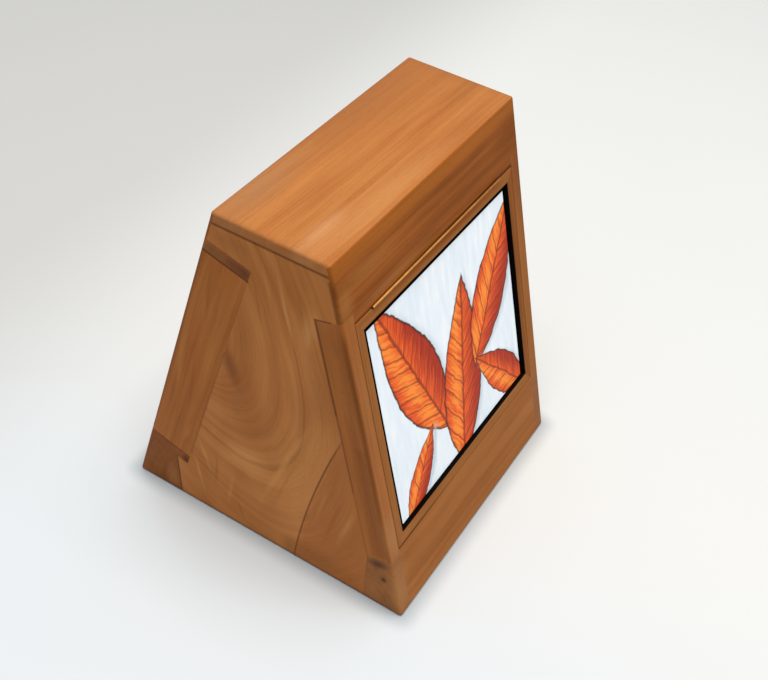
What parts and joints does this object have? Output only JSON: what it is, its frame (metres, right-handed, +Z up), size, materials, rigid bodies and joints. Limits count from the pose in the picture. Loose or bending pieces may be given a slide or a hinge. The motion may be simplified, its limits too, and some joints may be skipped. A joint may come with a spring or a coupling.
{
  "type": "ditty box",
  "caption": "Wooden box for papers and keepsakes with upright ends, a sloping front and rear, a narrow flat top, and a top-hinged front door holding a framed picture.",
  "frame": {"origin": "middle of the base, on the surface that the box stands on", "axes": "+Z up, +X along the box from the left end wall to the right, -Y towards the front with the door"},
  "size_m": [0.24, 0.2486, 0.3],
  "materials": {
    "cherry_top": "oiled and varnished, satin",
    "cherry_panel": "oiled and varnished, satin",
    "cherry_post": "oiled and varnished, satin",
    "cherry_rail": "oiled and varnished, satin",
    "cherry_frame": "oiled and varnished, satin",
    "cherry_key": "oiled and varnished, satin",
    "cherry_end_grain": "oiled and varnished, satin",
    "hinge_brass": "brushed",
    "black_paint": "flat black paint",
    "picture_varnish": "varnished paint on board"
  },
  "bodies": {
    "carcass": {"bottom_panel": "cherry_panel", "front_bottom_rail": "cherry_rail", "front_top_rail": "cherry_rail", "hinge_fixed_leaf": "hinge_brass", "hinge_fixed_screws": "hinge_brass", "hinge_pin": "hinge_brass", "left_door_stop": "cherry_rail", "left_end_panel": "cherry_panel", "left_front_corner_block": "cherry_end_grain", "left_front_post": "cherry_post", "left_rear_corner_block": "cherry_post", "left_rear_lower_key": "cherry_key", "left_rear_post": "cherry_post", "left_rear_upper_key": "cherry_key", "rear_bottom_rail": "cherry_rail", "rear_panel": "cherry_panel", "rear_top_rail": "cherry_rail", "right_door_stop": "cherry_rail", "right_end_panel": "cherry_panel", "right_front_corner_block": "cherry_end_grain", "right_front_post": "cherry_post", "right_rear_corner_block": "cherry_post", "right_rear_lower_key": "cherry_key", "right_rear_post": "cherry_post", "right_rear_upper_key": "cherry_key", "sill_stop": "cherry_rail", "top_board": "cherry_top"},
    "door": {"backing_screws": "hinge_brass", "door_bottom_rail": "cherry_frame", "door_left_stile": "cherry_frame", "door_right_stile": "cherry_frame", "door_top_rail": "cherry_frame", "hinge_door_leaf": "hinge_brass", "hinge_door_screws": "hinge_brass", "picture_backing": "black_paint", "picture_panel": "picture_varnish", "recess_liner": "black_paint"}
  },
  "joints": [
    {"name": "door_hinge", "type": "hinge", "parent": "carcass", "child": "door", "pos_m": [0, -0.05758, 0.25125], "axis": [-1, 0, 0], "range_deg": [0, 180]}
  ]
}
